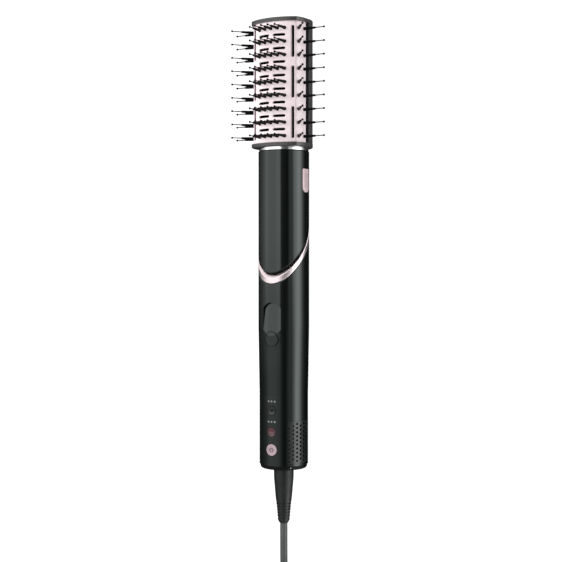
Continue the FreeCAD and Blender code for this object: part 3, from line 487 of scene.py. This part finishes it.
# ---------------------------------------------------------------- bristles
# Each row is one black nylon moulding: tapering pins with a small ball on every tip, on a cross rib
# that lies under the front plate. The nylon is dull and slightly uneven.
bristle_nylon = skinned("bristle_nylon", (0.0012, 0.0011, 0.0012), (0.0022, 0.0020, 0.0022),
                        0.42, 0.56, 3200.0, 0.2, sockets={"Specular IOR Level": 0.07})
rows = [name for name in nodes if name.startswith("bristle_row_")]
finish_node(bristle_nylon, *rows)

# ---------------------------------------------------------------- cord boot and swivel
# The strain relief is a tapering black rubber moulding with ribs near its end. It is moulded on to a
# collar that turns in the bottom cap.
boot_rubber = skinned("boot_rubber", (0.0030, 0.0042, 0.0040), (0.0048, 0.0064, 0.0060),
                      0.46, 0.60, 2200.0, 0.35, sockets={"Specular IOR Level": 0.4})
finish_node(boot_rubber, "cord_boot", "swivel_collar")

# ---------------------------------------------------------------- mains cord
# A round flexible cord with a dark grey jacket, 5.6 mm thick and about 2.25 m long. It leaves
# the strain relief level and comes down to the table, and what isn't in use is folded into a
# hank: five turns upwards round a narrow loop, then down again round a wide one.
cord_r = 0.0028
lead_in = [
    (0.0, -0.042, axis_z),
    (0.0, -0.062, axis_z),
    (-0.0032, -0.084, 0.0130),
    (-0.0082, -0.104, 0.0058),
    (-0.0110, -0.121, 0.0028),
    (-0.0110, -0.136, 0.0028),
]
tail = [
    (-0.0166, -0.243, 0.0028),
    (-0.0166, -0.256, 0.0028),
    (-0.0134, -0.269, 0.0046),
    (-0.0092, -0.282, 0.0073),
    (-0.0066, -0.295, 0.0085),
    (-0.0066, -0.307, 0.0085),
]
hank_x = 0.008
hank_middle = (lead_in[-1][1] + tail[0][1]) / 2
loop_out = 0.026
waist_out = 0.008
layer_rise = 2 * cord_r
waist_lift, waist_rise = 0.0012, 0.0054
layers = 5
loop_corners = 6
loop_spread = math.radians(15.0)        # how far a loop runs past a half turn, at each end
rise_speed = 1.3                        # above 1, a rising loop is up before it ends
narrow, wide = (0.0190, 0.0110), (0.0246, 0.0166)       # loop radius, half width at the waist
straight_in, straight_out = 0.014, 0.013


def end_loop(end, before, after, low, high):
    """The corners round one end, +1 towards the brush or -1 away from it, between two lanes."""
    step = (math.pi + 2 * loop_spread) / (loop_corners - 1)
    found = []
    for k in range(loop_corners):
        done = (k + 0.5) / loop_corners
        radius = before[0] + (after[0] - before[0]) * done
        reach = radius / math.cos(step / 2)
        turned = step * k - loop_spread
        x = hank_x + end * reach * math.cos(turned)
        y = hank_middle + end * (loop_out + reach * math.sin(turned))
        found.append((x, y, cord_r + low + (high - low) * min(1.0, rise_speed * done)))
    return found


def waist(side, lane, layer):
    """Two corners under the tie; on the left side the cord runs away from the brush."""
    height = cord_r + waist_lift + waist_rise * layer
    return [(hank_x + side * lane[1], hank_middle + side * y, height) for y in (-waist_out, waist_out)]


turns = []
lane, layer = narrow, 0
while True:
    turns += waist(-1, lane, layer)
    if lane is wide and layer == 0:
        break
    level = layer_rise * layer
    next_lane = wide if layer == layers - 1 else lane
    turns += end_loop(-1, lane, next_lane, level, level)
    lane = next_lane
    turns += waist(1, lane, layer)
    rising = lane is narrow
    turns += end_loop(1, lane, lane, level, level + (layer_rise if rising else 0))
    layer += 1 if rising else -1
turns[0:0] = [(lead_in[-1][0], lead_in[-1][1] - straight_in, cord_r),
              (lead_in[-1][0], hank_middle + loop_out, cord_r)]
turns += [(tail[0][0], hank_middle - loop_out, cord_r), (tail[0][0], tail[0][1] + straight_out, cord_r)]

cord_curve = bpy.data.curves.new("mains_cord", "CURVE")
cord_curve.dimensions = "3D"
cord_curve.bevel_depth = cord_r
cord_curve.bevel_resolution = 5
cord_curve.resolution_u = 6
cord_curve.use_fill_caps = True
cord_line = cord_curve.splines.new("NURBS")
corners = lead_in + turns + tail
cord_line.points.add(len(corners) - 1)
for point, corner in zip(cord_line.points, corners):
    point.co = (*at(*corner), 1.0)
cord_line.order_u = 3
cord_line.use_endpoint_u = True
mains_cord = bpy.data.objects.new("mains_cord", cord_curve)
scene.collection.objects.link(mains_cord)
cord_jacket = skinned("cord_jacket", (0.052, 0.058, 0.057), (0.075, 0.081, 0.080),
                      0.42, 0.58, 2600.0, 0.25, stretch=5.0, marks=120.0,
                      sockets={"Specular IOR Level": 0.45})
cord_curve.materials.append(cord_jacket)
finish_node(cord_jacket, "cord_inner")
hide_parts("power_cord", "cord_tail", "cord_hank")
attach(mains_cord, "brush")

# ---------------------------------------------------------------- tie
# A woven black strap goes once round the folded cord and holds its turns together at the waist.
# Its free end lies on top of the loop and sticks to it. It is cut from tape and has no stitching.


def runs_lengthwise(edge):
    """Whether an edge lies along the brush."""
    return abs(edge.verts[0].co.y - edge.verts[1].co.y) > 1e-4


tie_low, tie_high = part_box("hank_tie")
strap_thick, strap_corner = 0.0012, 0.0042
free_left, free_right, free_sunk, free_proud, free_inset = 0.0105, 0.0085, 0.0002, 0.0010, 0.0006
strap_bm = bmesh.new()
add_block(strap_bm, tie_low, tie_high, strap_corner, 6, runs_lengthwise)
open_ends = [f for f in strap_bm.faces if abs(f.normal.y) > 0.9]
bmesh.ops.delete(strap_bm, geom=open_ends, context="FACES_ONLY")
bmesh.ops.solidify(strap_bm, geom=strap_bm.faces, thickness=strap_thick)
add_block(strap_bm, Vector((hank_x - free_left, tie_low.y + free_inset, tie_high.z - free_sunk)),
          Vector((hank_x + free_right, tie_high.y - free_inset, tie_high.z + free_proud)), 0.0005)
strap_weave, strap_tree, strap_shader = new_surface("tie_strap", {"Sheen Weight": 0.2})
strap_place = add_node(strap_tree, "ShaderNodeTexCoord").outputs["Object"]
weave = add_node(strap_tree, "ShaderNodeTexWave",
                 {"Vector": strap_place, "Scale": 420.0, "Distortion": 0.6}, bands_direction="DIAGONAL")
strap_colour = add_ramp(strap_tree, weave.outputs["Fac"],
                        [(0.2, (0.010, 0.010, 0.011)), (0.8, (0.032, 0.032, 0.034))])
strap_tree.links.new(strap_colour, strap_shader.inputs["Base Color"])
strap_bump = add_node(strap_tree, "ShaderNodeBump",
                      {"Strength": 0.6, "Distance": 0.0002, "Height": weave.outputs["Fac"]})
strap_tree.links.new(strap_bump.outputs["Normal"], strap_shader.inputs["Normal"])
strap_rough = add_node(strap_tree, "ShaderNodeMapRange",
                       {"Value": weave.outputs["Fac"], "To Min": 0.65, "To Max": 0.85})
strap_tree.links.new(strap_rough.outputs["Result"], strap_shader.inputs["Roughness"])
tie_strap = new_piece("tie_strap", strap_bm, strap_weave, "brush")
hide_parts("hank_tie")

# ---------------------------------------------------------------- plug
# A two-blade mains plug, moulded in black plastic round its blades and the end of the cord.
# Ridges on its upper face and round its strain relief give the fingers a hold.
plug_plastic = skinned("plug_plastic", (0.014, 0.015, 0.015), (0.022, 0.023, 0.023),
                       0.38, 0.55, 1800.0, 0.5)
finish_node(plug_plastic, "plug_body")

brass = skinned("brass", (0.66, 0.60, 0.44), (0.78, 0.73, 0.58),
                0.22, 0.38, 1500.0, 0.25, stretch=12.0, sockets={"Metallic": 1.0})
finish_node(brass, "plug_blades")

plug_low, plug_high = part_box("plug_body")
plug_x, plug_z = (plug_low.x + plug_high.x) / 2, (plug_low.z + plug_high.z) / 2
ridge_first, ridge_step = 0.0130, 0.0030
ridge_half = Vector((0.0070, 0.0006, 0.0005))
ridge_bm = bmesh.new()
for ridge in range(5):
    ridge_middle = Vector((plug_x, plug_low.y + ridge_first + ridge_step * ridge, plug_high.z))
    add_block(ridge_bm, ridge_middle - ridge_half, ridge_middle + ridge_half, 0.0004)
# The strain relief is a cone that widens from where the cord enters it to the plug.
cone_small, cone_large, cone_long = 0.0036, 0.0062, 0.022
collar_first, collar_step, collar_r = 0.0030, 0.0034, 0.0006
for collar in range(5):
    collar_in = collar_first + collar_step * collar
    cone_r = cone_small + (cone_large - cone_small) * collar_in / cone_long
    ring_middle = Vector((plug_x, plug_high.y - collar_in, plug_z))
    ring_place = Matrix.Translation(ring_middle + Vector((cone_r, 0, 0)))
    section = bmesh.ops.create_circle(ridge_bm, segments=12, radius=collar_r, matrix=ring_place)["verts"]
    section_edges = list({e for v in section for e in v.link_edges})
    bmesh.ops.spin(ridge_bm, geom=section + section_edges, cent=ring_middle, axis=(0, 1, 0),
                   angle=2 * math.pi, steps=48, use_merge=True)
plug_grip = new_piece("plug_grip", ridge_bm, plug_plastic, "brush")
